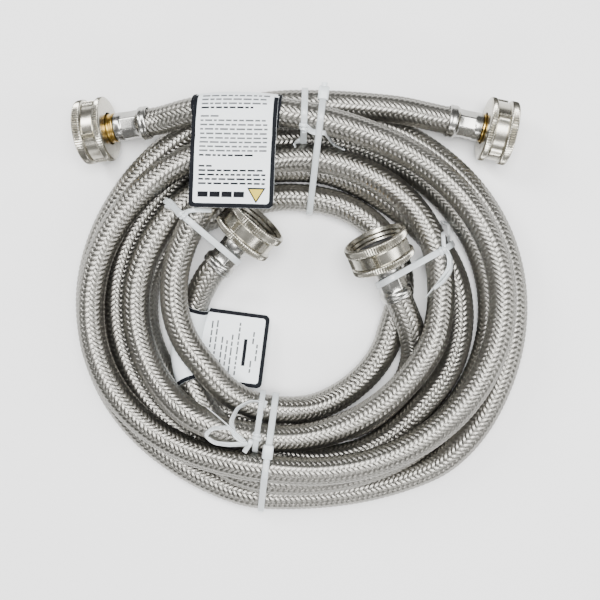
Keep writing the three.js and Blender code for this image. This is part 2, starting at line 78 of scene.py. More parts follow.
def studio():
    world = bpy.data.worlds.new("studio")
    world.use_nodes = True
    tree = world.node_tree
    background = tree.nodes["Background"]
    background.inputs["Color"].default_value = (1, 1, 1, 1)
    # The room lights the object dimly, and is pale where it shows behind the floor's far edge.
    seen = tree.nodes.new("ShaderNodeLightPath").outputs["Is Camera Ray"]
    strength = tree.nodes.new("ShaderNodeMapRange")
    strength.inputs["To Min"].default_value = ROOM_LIGHT
    strength.inputs["To Max"].default_value = ROOM_SEEN
    tree.links.new(seen, strength.inputs["Value"])
    tree.links.new(strength.outputs["Result"], background.inputs["Strength"])
    bpy.context.scene.world = world
    area_light("top", (0.05, 0.1, 1.3), (0.7, 0.7), 36)
    area_light("key", (-0.6, 0.5, 0.8), (0.25, 0.5), 9)
    area_light("fill", (0.75, -0.1, 0.6), (0.2, 0.8), 6)
    area_light("front", (0.0, -0.85, 0.6), (0.8, 0.15), 5)


camera()
studio()

# ------------------------------ the coil, laid as in the CAD
RING_HALF = np.array([108.7, 99])
HOSE_RADIUS = 6.75
PILE_APEX = 520
PILE_MIDDLE = 16

# Turns of each hose, clockwise from its first end: (angle in degrees, spread of the oval, height).
OUTER_TURNS = [
    (115, 1.01, 25.5), (105, 0.957, 30.5), (93, 0.912, 33), (85, 0.88, 32), (75, 0.86, 31),
    (60, 0.86, 29), (45, 0.865, 28), (30, 0.875, 29), (15, 0.89, 29), (0, 0.897, 29),
    (-15, 0.89, 30), (-30, 0.885, 30), (-45, 0.875, 30), (-60, 0.862, 30), (-75, 0.85, 30),
    (-90, 0.835, 30), (-105, 0.83, 28), (-120, 0.877, 24), (-132, 0.91, 21), (-145, 0.94, 20),
    (-160, 0.955, 20), (-180, 0.94, 20), (-195, 0.925, 20), (-210, 0.9, 20), (-225, 0.88, 20),
    (-235, 0.865, 20), (-250, 0.835, 18), (-262, 0.815, 11), (-270, 0.8, 7), (-285, 0.805, 7),
    (-300, 0.81, 7), (-315, 0.81, 7), (-330, 0.815, 7), (-345, 0.83, 7), (-360, 0.842, 7),
    (-375, 0.85, 7), (-390, 0.855, 7), (-405, 0.85, 8), (-420, 0.85, 14), (-435, 0.855, 18),
    (-450, 0.855, 18), (-465, 0.84, 16), (-480, 0.82, 10), (-500, 0.82, 7), (-520, 0.835, 7),
    (-540, 0.835, 7), (-555, 0.83, 7), (-570, 0.815, 7), (-585, 0.815, 7), (-595, 0.83, 7),
    (-610, 0.87, 7), (-620, 0.905, 7), (-630, 0.92, 7), (-645, 0.92, 8), (-660, 0.905, 12),
    (-675, 0.915, 16), (-690, 0.925, 17), (-705, 0.93, 17), (-720, 0.93, 17), (-735, 0.935, 17),
    (-750, 0.935, 16), (-765, 0.938, 13), (-780, 0.935, 10), (-795, 0.925, 7), (-810, 0.913, 7),
    (-825, 0.92, 7), (-840, 0.92, 7), (-870, 0.93, 7), (-900, 0.93, 7), (-930, 0.93, 7),
    (-945, 0.94, 9), (-955, 0.94, 13), (-970, 0.935, 18), (-980, 0.925, 20), (-990, 0.922, 20),
    (-1000, 0.935, 20), (-1008, 0.97, 19),
]
INNER_TURNS = [
    (-22, 0.54, 14), (-34, 0.61, 8), (-48, 0.665, 7), (-60, 0.685, 7), (-75, 0.68, 7),
    (-90, 0.665, 7), (-110, 0.665, 7), (-130, 0.675, 7), (-150, 0.69, 7), (-180, 0.695, 7),
    (-200, 0.68, 7), (-215, 0.63, 7), (-228, 0.57, 7), (-240, 0.54, 7), (-255, 0.535, 7),
    (-270, 0.535, 7), (-285, 0.53, 7), (-300, 0.51, 7), (-315, 0.495, 7), (-330, 0.48, 7),
    (-345, 0.465, 7), (-360, 0.45, 7), (-375, 0.445, 7), (-390, 0.455, 7), (-405, 0.47, 7),
    (-420, 0.487, 7), (-435, 0.52, 8), (-450, 0.565, 12), (-465, 0.58, 16), (-480, 0.59, 19),
    (-495, 0.588, 20), (-510, 0.58, 20), (-540, 0.573, 20), (-555, 0.585, 21), (-570, 0.6, 23),
    (-585, 0.635, 30), (-600, 0.68, 32), (-615, 0.7, 27), (-630, 0.695, 22), (-645, 0.685, 20),
    (-660, 0.675, 20), (-675, 0.668, 20), (-690, 0.65, 20), (-705, 0.62, 20), (-720, 0.595, 20),
    (-735, 0.588, 21), (-750, 0.588, 21), (-765, 0.6, 21), (-780, 0.617, 20), (-795, 0.645, 20),
    (-810, 0.675, 21), (-825, 0.7, 24), (-840, 0.72, 28), (-855, 0.735, 26), (-870, 0.74, 22),
    (-900, 0.733, 20), (-915, 0.72, 20), (-930, 0.7, 20), (-945, 0.69, 19), (-960, 0.67, 14),
    (-975, 0.645, 9), (-990, 0.62, 7), (-1005, 0.61, 7), (-1020, 0.6, 7), (-1035, 0.605, 7),
    (-1050, 0.63, 7), (-1065, 0.675, 7), (-1080, 0.705, 7), (-1095, 0.73, 7), (-1110, 0.767, 7),
    (-1125, 0.79, 7), (-1140, 0.81, 7), (-1155, 0.81, 7), (-1170, 0.79, 7), (-1185, 0.765, 9),
    (-1200, 0.74, 12), (-1215, 0.69, 12), (-1230, 0.61, 10), (-1245, 0.53, 10), (-1256, 0.49, 12),
]

# Each end, measured from the hose side edge of its ferrule toward the mouth of its nut.
MOUTH_BACK = 32
SEAL_BACK = 7.5
NUT_FLOAT = 2.1
STRAIGHT = 7
ENDS = {
    "outer_start": ((-106, 80.8, 15.8), (-0.966, -0.12, -0.17), NUT_FLOAT),
    "outer_end": ((101.2, 80.2, 15.9), (0.98, -0.2, -0.04), 0),
    "inner_start": ((33.5, 29.2, 32.6), (-0.39, 0.87, 0.29), 0),
    "inner_end": ((-20.2, 38.5, 27.8), (0.655, 0.71, 0.235), 0),
}
STRAND_SPACING = 13.5
SWEEP_STEP = 2.5
SAMPLE_STEP = 5
SMOOTH_IN = 0.5
SMOOTH_OUT = -0.52
SMOOTH_ROUNDS = 14
SETTLE_ROUNDS = 320
SETTLE_REFRESH = 20
SETTLE_REACH = 8
BEND_PASSES = 4
BEND_SHARE = 0.45
GUIDE_SHARE = 0.004
PINNED = 2
NEIGHBOURS = 9
STRAP_LIFT = 1.5
STRAP_ROOM = 0.9
STRAP_REACH = 12
SLEEVE_ROOM = 2
CABLE_WIDTH = 3.8
STRIP_WIDTH = 3.6
STRAP_LOOK = 3.2  # how far beside a tie a strand still counts as held
# Each tie: plan points its plane runs between, its width, and the height its strands are above.
TIES = {
    "top_cable_tie": ((10.9, 104), (3.6, 42), CABLE_WIDTH, 0),
    "top_strip_tie": ((1.6, 106), (0.6, 72), STRIP_WIDTH, 0),
    "bottom_cable_tie": ((-19.4, -97), (-12.4, -45), CABLE_WIDTH, 0),
    "bottom_strip_tie": ((-22.8, -76), (-18.2, -42), STRIP_WIDTH, 15),
    "right_strip_tie": ((39, 8.6), (72.5, 27), STRIP_WIDTH, 0),
    "left_strip_tie": ((-32.2, 19.4), (-65.4, 47.8), STRIP_WIDTH, 0),
}
SLEEVES = {
    "caution_label": ((-48, 89.5), (-11, 87.5)),
    "maker_label": ((-55.5, -36), (-54, -6)),
}


def soften(values, reach, passes):
    """A running mean, with a window that shrinks at both ends."""
    for _ in range(passes):
        last = len(values) - 1
        rooms = [min(reach, i, last - i) for i in range(last + 1)]
        values = np.array([values[i - r : i + r + 1].mean() for i, r in enumerate(rooms)])
    return values


def turn_points(turns):
    """The turns of one hose as points a few degrees apart, its corners rounded off."""
    angles, spreads, heights = np.array(turns, float).T
    count = round((angles[0] - angles[-1]) / SWEEP_STEP)
    swept = np.linspace(angles[0], angles[-1], count + 1)
    spread = soften(np.interp(-swept, -angles, spreads), 3, 3)
    height = soften(np.interp(-swept, -angles, heights), 2, 3)
    lean = (PILE_APEX - height) / (PILE_APEX - PILE_MIDDLE)
    turn = np.radians(swept)
    across = RING_HALF * np.stack([np.cos(turn), np.sin(turn)], 1)
    return np.column_stack([across * (spread * lean)[:, None], height])


def even_points(points, step):
    """Points an even distance apart along a chain of straight pieces."""
    along = np.concatenate([[0], np.cumsum(np.linalg.norm(np.diff(points, axis=0), axis=1))])
    # Math.round in the CAD rounds halves up.
    places = np.linspace(0, along[-1], int(along[-1] / step + 0.5) + 1)
    return np.stack([np.interp(places, along, points[:, k]) for k in range(3)], 1)


def unit(v):
    v = np.asarray(v, float)
    return v / np.linalg.norm(v)


def on_axis(end, distance):
    mouth, facing, forward = ENDS[end]
    return np.array(mouth) + unit(facing) * (distance - MOUTH_BACK - forward)


def bend(points):
    out = np.zeros_like(points)
    out[1:-1] = (points[:-2] + points[2:]) / 2 - points[1:-1]
    return out


def guide_route(start, turns, end):
    """The guide a hose would follow if nothing pushed it."""
    lead = [on_axis(start, 0), on_axis(start, -STRAIGHT)]
    tail = [on_axis(end, -STRAIGHT), on_axis(end, 0)]
    points = even_points(np.vstack([lead, turn_points(turns), tail]), SAMPLE_STEP)
    for weight in [SMOOTH_IN, SMOOTH_OUT] * SMOOTH_ROUNDS:
        points[PINNED:-PINNED] += weight * bend(points)[PINNED:-PINNED]
    return points


def beside(lines, points):
    """One beside any of some lines, falling to zero away from them."""
    nearest = np.full(len(points), np.inf)
    for line in lines:
        start, end = np.array(line[0], float), np.array(line[1], float)
        along, offset = end - start, points[:, :2] - start
        share = np.clip(offset @ along / (along @ along), 0, 1)
        nearest = np.minimum(nearest, np.linalg.norm(offset - share[:, None] * along, axis=1))
    return np.exp(-((np.maximum(nearest - CABLE_WIDTH, 0) / STRAP_REACH) ** 2))


def settle(guides):
    """Pushes strands that would run into each other apart, and lets the rest follow its guide."""
    guide = np.vstack(guides)
    hose = np.repeat([0, 1], [len(g) for g in guides])
    order = np.concatenate([np.arange(len(g)) for g in guides])
    size = np.array([len(g) for g in guides])[hose]
    free = (order >= PINNED) & (order < size - PINNED)
    tied, sleeved = beside(TIES.values(), guide), beside(SLEEVES.values(), guide)
    floor = HOSE_RADIUS + STRAP_LIFT * tied
    room = np.maximum(STRAP_ROOM * tied, SLEEVE_ROOM * sleeved)
    spacing = STRAND_SPACING + room
    near = (hose[:, None] == hose) & (abs(order[:, None] - order) < NEIGHBOURS)
    points, own_bend = guide.copy(), bend(guide)
    for turn in range(SETTLE_ROUNDS):
        if turn % SETTLE_REFRESH == 0:
            apart = np.linalg.norm(points[:, None] - points, axis=2)
            first, second = np.nonzero(np.triu((apart < STRAND_SPACING + SETTLE_REACH) & ~near, 1))
            least = np.minimum(spacing[first], spacing[second])
        for _ in range(BEND_PASSES):
            moved = points + BEND_SHARE * (bend(points) - own_bend)
            moved += GUIDE_SHARE * (guide - moved)
            points[free] = moved[free]
        for _ in range(2):
            offset = points[first] - points[second]
            distance = np.linalg.norm(offset, axis=1)
            gap = least - distance
            met = gap > 0
            push = offset[met] * (gap[met] / distance[met] / 2)[:, None]
            total, count = np.zeros_like(points), np.zeros(len(points))
            for side, sign in ((first[met], 1), (second[met], -1)):
                np.add.at(total, side, sign * push)
                np.add.at(count, side, 1)
            step = total / np.sqrt(np.maximum(count, 1))[:, None]
            points[free] += step[free]
            points[free, 2] = np.maximum(points, floor[:, None])[free, 2]
    return np.split(points, [len(guides[0])])


OUTER_ROUTE, INNER_ROUTE = settle([
    guide_route("outer_start", OUTER_TURNS, "outer_end"),
    guide_route("inner_start", INNER_TURNS, "inner_end"),
])
HOSES = {
    "outer_hose": (OUTER_ROUTE, "outer_start", "outer_end"),
    "inner_hose": (INNER_ROUTE, "inner_start", "inner_end"),
}

# ------------------------------ mesh helpers


def in_place(points):
    """Millimetres of the coil's own frame to metres of the shared frame."""
    return (np.asarray(points, float) + FRAME_SHIFT) * MM


def shape(name, points, faces, material, uv=None, body=COIL, bevel=None):
    """One smooth mesh piece from points in millimetres, riding a CAD body."""
    mesh = bpy.data.meshes.new(name)
    mesh.from_pydata(in_place(points), [], np.asarray(faces).tolist())
    mesh.materials.append(material)
    mesh.polygons.foreach_set("use_smooth", np.ones(len(mesh.polygons), bool))
    if uv is not None:
        layer = mesh.uv_layers.new(name="UVMap")
        corner = np.empty(len(mesh.loops), np.int32)
        mesh.loops.foreach_get("vertex_index", corner)
        layer.data.foreach_set("uv", np.asarray(uv, np.float32)[corner].ravel())
    if bevel is not None:
        mesh.set_sharp_from_angle(angle=math.radians(bevel))
    mesh.update()
    piece = bpy.data.objects.new(name, mesh)
    bpy.context.collection.objects.link(piece)
    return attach(piece, body)


def grid_faces(rows, columns, closed_rows=False, closed_columns=False, first=0):
    """Quads over a grid of points stored row by row."""
    i = np.arange(rows if closed_rows else rows - 1)[:, None]
    j = np.arange(columns if closed_columns else columns - 1)[None]
    next_i, next_j = (i + 1) % rows, (j + 1) % columns
    corners = [i * columns + j, i * columns + next_j, next_i * columns + next_j, next_i * columns + j]
    return first + np.stack(np.broadcast_arrays(*corners), -1).reshape(-1, 4)


def merged(parts):
    """Several (points, faces) as one."""
    points, faces, base = [], [], 0
    for part_points, part_faces in parts:
        points.append(part_points)
        faces.append(np.asarray(part_faces) + base)
        base += len(part_points)
    return np.vstack(points), np.vstack(faces)


class Line:
    """A smooth line through a route, with frames that don't twist, read at any distance along it."""

    def __init__(self, points, step=0.5):
        points = np.asarray(points, float)
        padded = np.vstack([2 * points[0] - points[1], points, 2 * points[-1] - points[-2]])
        t = np.linspace(0, 1, 10, endpoint=False)[:, None, None]
        a, b, c, d = padded[:-3], padded[1:-2], padded[2:-1], padded[3:]
        from_b, from_c = 3 * t**3 - 6 * t**2 + 4, -3 * t**3 + 3 * t**2 + 3 * t + 1
        spline = ((1 - t) ** 3 * a + from_b * b + from_c * c + t**3 * d) / 6
        fine = np.vstack([spline.transpose(1, 0, 2).reshape(-1, 3), points[-1]])
        self.middle = even_points(fine, step)
        self.length = np.linalg.norm(np.diff(self.middle, axis=0), axis=1).sum()
        self.along = np.linspace(0, self.length, len(self.middle))
        tangent = np.gradient(self.middle, axis=0)
        self.tangent = tangent / np.linalg.norm(tangent, axis=1)[:, None]
        side = np.cross(self.tangent[0], (0, 0, 1))
        sides = []
        for forward in self.tangent:
            side = unit(side - forward * (side @ forward))
            sides.append(side)
        self.side = np.array(sides)
        self.up = np.cross(self.side, self.tangent)

    def read(self, values, s):
        return np.stack([np.interp(s, self.along, values[:, k]) for k in range(3)], -1)

    def around(self, s, turn, radius):
        """Points at a distance along, an angle round and a radius out from the line."""
        side, up = self.read(self.side, s), self.read(self.up, s)
        out = np.cos(turn)[..., None] * side + np.sin(turn)[..., None] * up
        return self.read(self.middle, s) + radius[..., None] * out


# ------------------------------ materials
# Sockets named A and B on a colour mix are found by their place, and so is its result.
MIX_A, MIX_B, MIX_RESULT = 6, 7, 2
WIRES = 7  # wires side by side in one ribbon of the braid


def material(name, colour, metallic=0.0, roughness=0.4, **extra):
    made = bpy.data.materials.new(name)
    made.use_nodes = True
    shader = made.node_tree.nodes["Principled BSDF"]
    shader.inputs["Base Color"].default_value = (*colour, 1)
    shader.inputs["Metallic"].default_value = metallic
    shader.inputs["Roughness"].default_value = roughness
    for socket, value in extra.items():
        shader.inputs[socket.replace("_", " ")].default_value = value
    return made, made.node_tree, shader


def add_node(tree, kind, inputs=None, **settings):
    node = tree.nodes.new(kind)
    for key, value in settings.items():
        setattr(node, key, value)
    for key, value in (inputs or {}).items():
        if isinstance(value, bpy.types.NodeSocket):
            tree.links.new(value, node.inputs[key])
        else:
            node.inputs[key].default_value = value
    return node


def spread(tree, value, low, high):
    """A 0 to 1 value spread between two others."""
    node = add_node(tree, "ShaderNodeMapRange", {"Value": value, "To Min": low, "To Max": high})
    return node.outputs["Result"]


def noise(tree, scale, detail=3.0):
    place = add_node(tree, "ShaderNodeTexCoord").outputs["Object"]
    return add_node(
        tree, "ShaderNodeTexNoise", {"Vector": place, "Scale": scale, "Detail": detail}
    ).outputs["Fac"]


def bump(tree, shader, height, strength, distance):
    node = add_node(
        tree, "ShaderNodeBump", {"Height": height, "Strength": strength, "Distance": distance}
    )
    tree.links.new(node.outputs["Normal"], shader.inputs["Normal"])


def braid_steel():
    made, tree, shader = material("braid_steel", (0.27, 0.261, 0.238), 1.0, 0.32)
    place = add_node(tree, "ShaderNodeUVMap").outputs["UV"]
    across = add_node(tree, "ShaderNodeSeparateXYZ", {"Vector": place}).outputs["X"]
    turn = add_node(tree, "ShaderNodeMath", {0: across, 1: FULL_TURN * WIRES}, operation="MULTIPLY")
    ridge = add_node(tree, "ShaderNodeMath", {0: turn.outputs[0]}, operation="COSINE")
    bump(tree, shader, ridge.outputs[0], 0.3, 0.00003)
    tree.links.new(spread(tree, noise(tree, 70), 0.29, 0.37), shader.inputs["Roughness"])
    return made


def satin_nickel(name="satin_nickel", colour=(0.45, 0.43, 0.37), low=0.2, high=0.32):
    made, tree, shader = material(name, colour, 1.0, 0.26)
    bump(tree, shader, noise(tree, 1400, 4), 0.03, 0.0001)
    tree.links.new(spread(tree, noise(tree, 260), low, high), shader.inputs["Roughness"])
    return made


def speckled(name, dark, light, roughness, scale=700, metallic=0.0, **extra):
    made, tree, shader = material(name, dark, metallic, roughness, **extra)
    speck = noise(tree, scale)
    mix = add_node(tree, "ShaderNodeMix", {0: speck}, data_type="RGBA")
    mix.inputs[MIX_A].default_value = (*dark, 1)
    mix.inputs[MIX_B].default_value = (*light, 1)
    tree.links.new(mix.outputs[MIX_RESULT], shader.inputs["Base Color"])
    bump(tree, shader, speck, 0.15, 0.0001)
    return made


def core_vinyl():
    made, tree, shader = material("hose_core", (0.05, 0.052, 0.056), 0.0, 0.6)
    bump(tree, shader, noise(tree, 800), 0.3, 0.0002)
    return made


BRAID = braid_steel()
NICKEL = satin_nickel()
STEEL = satin_nickel("pressed_steel", (0.40, 0.395, 0.375), 0.2, 0.32)
BRASS = speckled("brass", (0.42, 0.27, 0.06), (0.52, 0.36, 0.11), 0.28, metallic=1.0)
RUBBER = speckled("rubber", (0.012, 0.012, 0.013), (0.03, 0.03, 0.032), 0.6)
CORE = core_vinyl()

# ------------------------------ the braided hoses
BRAID_END = 3.4  # how far the braid goes into a ferrule
CARRIERS = 12  # ribbons each way round
PITCH = 30  # distance along the hose for one turn of a ribbon
RIBBON = 1.92
CROWN = 0.2  # how far the middle of a ribbon stands out
CROWN_FALL = 1.6  # how steeply it falls to the ribbon's edges, against its crown
BRAID_MIDDLE = 6.28
WEAVE = 0.27  # how far a ribbon goes out over the others, and in under them
ROWS_PER_WAVE = 7
ACROSS = np.array([-1, -0.36, 0.36, 1])
CORE_RADIUS = 5.85
BORE = 4.4
HOSE_SIDES = 20
WAVE = PITCH / 6  # over two ribbons and under two
CROSSINGS = 4  # ribbons crossed in one wave
LEAN = math.atan2(FULL_TURN * BRAID_MIDDLE, PITCH)  # of a ribbon from the hose's own direction


def ribbons(line, hand):
    """The ribbons that wind one way: hand is 1 or -1."""
    rows = int(line.length / WAVE * ROWS_PER_WAVE)
    s = np.linspace(0, line.length, rows)[None, :, None]
    number = np.arange(CARRIERS)[:, None, None]
    width = (RIBBON / 2 * ACROSS)[None, None, :]
    turn = FULL_TURN * (number / CARRIERS + hand * s / PITCH)
    crossing = hand * s * CROSSINGS / WAVE
    wave = np.cos(math.pi / 2 * (2 * number + crossing - 0.5))
    radius = BRAID_MIDDLE + hand * WEAVE * wave + CROWN * (1 - CROWN_FALL * ACROSS**2)[None, None, :]
    here = np.clip(s - width * math.sin(LEAN) * hand, 0, line.length)
    turned = turn + width * math.cos(LEAN) / BRAID_MIDDLE
    turned, here, radius = np.broadcast_arrays(turned, here, radius)
    points = line.around(here, turned, radius).reshape(-1, 3)
    quads = grid_faces(rows, len(ACROSS))
    if hand > 0:
        quads = quads[:, ::-1]
    faces = np.vstack([quads + k * rows * len(ACROSS) for k in range(CARRIERS)])
    uv = np.stack(np.broadcast_arrays((ACROSS + 1)[None, None] / 2, s / 10 + 0 * turned), -1).reshape(-1, 2)
    return points, faces, uv


def tube(line, outside, inside, sides=HOSE_SIDES, spacing=1.5):
    """A pipe along a line, open at both ends."""
    rings = int(line.length / spacing)
    s = np.linspace(0, line.length, rings)[:, None]
    turn = FULL_TURN * np.arange(sides)[None] / sides
    skins = [line.around(s + 0 * turn, turn + 0 * s, np.full((rings, sides), r)) for r in (outside, inside)]
    points = np.vstack([skin.reshape(-1, 3) for skin in skins])
    wall = grid_faces(rings, sides, closed_columns=True)
    inner = rings * sides
    faces = [wall[:, ::-1], wall + inner]
    j, k = np.arange(sides), (np.arange(sides) + 1) % sides
    for ring, flip in ((0, 1), (rings - 1, -1)):
        a, b = ring * sides + j, ring * sides + k
        faces.append(np.stack([a, b, inner + b, inner + a], 1)[:, ::flip])
    return points, np.vstack(faces)


def hose(name, route, start, end):
    line = Line(np.vstack([on_axis(start, BRAID_END), route, on_axis(end, BRAID_END)]))
    points, faces = tube(line, CORE_RADIUS, BORE)
    core = shape(name + "_core", points, faces, CORE)
    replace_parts(core, name + "_inner_tube")
    layers = []
    for hand, word in ((1, "right"), (-1, "left")):
        points, faces, uv = ribbons(line, hand)
        layers.append(shape(f"{name}_braid_{word}", points, faces, BRAID, uv))
    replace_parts(layers[0], name + "_braid")
    return core, layers, line


# ------------------------------ end fittings
def end_frame(end, distance):
    """An end's place at a distance along it, and the directions across, up and along it."""
    along = unit(ENDS[end][1])
    across = unit(np.cross((0, 0, 1), along))
    return on_axis(end, distance), across, np.cross(along, across), along


def stood(points, end, distance):
    """Points made about Z, stood on the axis of an end."""
    place, across, up, along = end_frame(end, distance)
    return place + points @ np.stack([across, up, along])


def placed(end, distance, points, faces):
    return stood(points, end, distance), faces


def revolved(outline, sides, ripple=None):
    """Points and faces of a closed outline of (radius, height) turned about Z."""
    outline = np.array(outline, float)
    angle = FULL_TURN * np.arange(sides)[:, None] / sides
    radius = outline[:, 0] + (0 if ripple is None else ripple(angle, outline[:, 0], outline[:, 1]))
    radius = np.broadcast_to(radius, (sides, len(outline)))
    height = np.broadcast_to(outline[:, 1], radius.shape)
    points = np.stack([radius * np.cos(angle), radius * np.sin(angle), height], -1).reshape(-1, 3)
    return points, grid_faces(sides, len(outline), closed_rows=True, closed_columns=True)[:, ::-1]


def rounded(outline, radius, steps=3):
    """An outline of (radius, height) corners with each corner rounded off a little."""
    outline = np.array(outline, float)
    out = []
    for i, corner in enumerate(outline):
        before, after = outline[i - 1] - corner, outline[(i + 1) % len(outline)] - corner
        reach = min(radius, 0.4 * np.linalg.norm(before), 0.4 * np.linalg.norm(after))
        a, b = corner + unit(before) * reach, corner + unit(after) * reach
        for t in np.linspace(0, 1, steps):
            out.append((1 - t) ** 2 * a + 2 * t * (1 - t) * corner + t**2 * b)
    return out


FERRULE = [
    (7.0, 0.1), (7.45, 0.1), (7.85, 0.6), (7.9, 1.2), (7.75, 2.2), (7.9, 2.8), (7.9, 3.6), (7.5, 4.4),
    (6.75, 5.1), (6.62, 5.6), (6.5, 7.4), (6.5, 9.6), (6.58, 12.4), (6.62, 13.1), (6.85, 13.6),
    (6.85, 16.4), (5.1, 16.5), (5.5, 15), (5.5, 4.8), (7, 4.2),
]
STEM = [
    (2.4, 3), (3.2, 3.6), (3.2, 13.6), (4.6, 13.6), (4.6, 16.9), (6.9, 16.9), (6.9, 17.7), (6.2, 18),
    (6.2, 18.7), (6.9, 19), (6.9, 20.4), (6.3, 20.7), (6.3, 21.2), (6.9, 21.5), (6.9, 22.7),
    (12.1, 22.7), (12.1, 24.2), (4.4, 24.2), (2.4, 18),
]
CRIMPS = 8
CRIMP_ARC = FULL_TURN / CRIMPS
CRIMP_RELIEF = 0.24  # how far out the flats stand from a plain eight-sided cut
NUT_SIDES = 320
KNURLS = 80
KNURL_DEPTH = 0.5
PANELS = 5  # smooth panels round the waist of a nut, with ribbed pillars between them
PANEL_SHARE = 0.8  # of the way from the middle of one panel to the middle of a pillar
PANEL_RISE = 0.25
PILLAR_RISE = 0.85
RIB_RISE = 0.25
RIBS = 3
THREAD_PITCH = 2.21
THREAD_STEPS = (0.0, 0.35, 0.75, 0.35)  # how far the thread stands in, through one pitch
THREAD_TURNS = 3


def ramp(value, start, length):
    """Rises from 0 to 1 over a length past a start, or falls if the length is negative."""
    return np.clip((value - start) / length, 0, 1)


def crimp(angle, radius, height):
    """Eight flats pressed into the middle of a ferrule, fading out at both ends of it."""
    pressed = ramp(height, 5.0, 0.9) * ramp(height, 13.3, -0.7)
    fold = (angle + CRIMP_ARC / 2) % CRIMP_ARC - CRIMP_ARC / 2
    flat = radius * (math.cos(CRIMP_ARC / 2) / np.cos(fold) - 1)
    return np.where(radius > 6.2, pressed * (flat + CRIMP_RELIEF), 0)


def nut_outline():
    """A swivel nut: two knurled flanges with a waist between them, threaded inside, mouth at zero."""
    outside = rounded([
        (7.6, -14), (11.6, -14), (14.3, -13.9), (15.4, -13.2), (15.4, -11.1), (14.7, -10.5), (13.9, -10.2),
        (13.9, -4.6), (14.7, -4.3), (15.45, -3.6), (15.45, -0.7), (14.9, -0.1), (13.8, 0),
    ], 0.3)
    steps = len(THREAD_STEPS)
    thread = [
        (13.5 - THREAD_STEPS[i % steps], -0.5 - i * THREAD_PITCH / steps) for i in range(steps * THREAD_TURNS)
    ]
    inside = thread + [(12.8, -7.6), (12.75, -8.2), (12.75, -11.8), (7.6, -11.8)]
    return refined(outside + inside, 0.55)


def refined(outline, step):
    """An outline with long sides cut into short ones, so that what is pressed into it can follow."""
    out = []
    for i, corner in enumerate(outline):
        after = np.array(outline[(i + 1) % len(outline)])
        count = max(1, round(np.linalg.norm(after - np.array(corner)) / step))
        out += [np.array(corner) + (after - np.array(corner)) * k / count for k in range(count)]
    return out


def knurl(angle, radius, height):
    """Fine ridges along both flanges; panels and ribbed pillars round the waist between them."""
    phase = np.abs(((angle * KNURLS / FULL_TURN) % 1) * 2 - 1)
    ridge = -KNURL_DEPTH * np.clip(1.5 * phase - 0.25, 0, 1)
    front = ramp(height, -3.9, 0.5) * ramp(height, -0.35, -0.4)
    back = ramp(height, -13.5, 0.5) * ramp(height, -10.7, -0.4)
    on_flange = np.where(radius > 14.75, 1, 0)
    share = np.abs((angle * PANELS / FULL_TURN) % 1 - 0.5) * 2  # 0 in the middle of a panel
    pillar = ramp(share, PANEL_SHARE, 0.03)
    rib = RIB_RISE * np.cos((share - PANEL_SHARE) / (1 - PANEL_SHARE) * FULL_TURN * RIBS) * pillar
    waist = ramp(height, -10.2, 0.3) * ramp(height, -4.6, -0.3)
    on_waist = np.where((radius > 13.5) & (radius < 14.2), waist, 0)
    return on_flange * (front + back) * ridge + on_waist * (PANEL_RISE + PILLAR_RISE * pillar + rib)


def fittings(end):
    """The four pieces at one end of a hose: ferrule, stem, washer and nut."""
    ring_mesh = revolved(rounded(FERRULE, 0.2), 96, crimp)
    ring = shape(f"{end}_ferrule_look", *placed(end, 0, *ring_mesh), STEEL, bevel=50)
    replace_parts(ring, end + "_ferrule")
    neck = shape(f"{end}_stem_look", *placed(end, 0, *revolved(rounded(STEM, 0.15), 72)), BRASS, bevel=50)
    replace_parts(neck, end + "_stem")
    mouth = MOUTH_BACK + ENDS[end][2]
    seal_outline = rounded([(8, 0), (12.3, 0), (12.3, 2.2), (8, 2.2)], 0.35)
    seal = shape(
        f"{end}_washer_look", *placed(end, mouth - SEAL_BACK, *revolved(seal_outline, 72)), RUBBER,
        body=end + "_washer_body", bevel=50,
    )
    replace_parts(seal, end + "_washer")
    nut = shape(
        f"{end}_nut_look", *placed(end, mouth, *revolved(nut_outline(), NUT_SIDES, knurl)), NICKEL,
        body=end + "_nut_body", bevel=28,
    )
    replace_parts(nut, end + "_nut")
    return ring, neck, seal, nut


LINES = {}
for name, (route, start, end) in HOSES.items():
    core, layers, LINES[name] = hose(name, route, start, end)
    fittings(start)
    far = fittings(end)

# ------------------------------ straps
def nylon():
    clear = {"Transmission_Weight": 0.4, "IOR": 1.5, "Coat_Weight": 0.2}
    made, tree, shader = material("nylon", (0.74, 0.785, 0.80), 0.0, 0.32, **clear)
    haze = noise(tree, 220)
    bump(tree, shader, haze, 0.25, 0.0003)
    tree.links.new(spread(tree, haze, 0.22, 0.45), shader.inputs["Roughness"])
    return made


NYLON = nylon()
FITTING_RUN = 19  # length of ferrule and neck that straps lie on
SAMPLES = np.vstack(
    [even_points(line.middle, 1) for line in LINES.values()]
    + [[on_axis(end, d) for d in range(FITTING_RUN)] for end in ENDS]
)
STRAP_CLEAR = 7.0
DISC_SIDES = 40
BAND_STEP = 0.8


def hull(points):
    """The corners of the tightest outline round some plan points, in order."""
    ranked = sorted(map(tuple, points))
    sides = []
    for chain in (ranked, ranked[::-1]):
        side = []
        for p in chain:
            while len(side) > 1:
                (ax, ay), (bx, by) = side[-2:]
                if (bx - ax) * (p[1] - ay) - (by - ay) * (p[0] - ax) > 0:
                    break
                side.pop()
            side.append(p)
        sides += side[:-1]
    return np.array(sides)


def tie_plane(tie):
    """A tie's start, and the directions along its plane, up and across it."""
    start = np.array([*tie[0], 0.0])
    along = unit(np.array([*tie[1], 0.0]) - start)
    up = np.array([0.0, 0.0, 1.0])
    return start, along, up, np.cross(along, up)


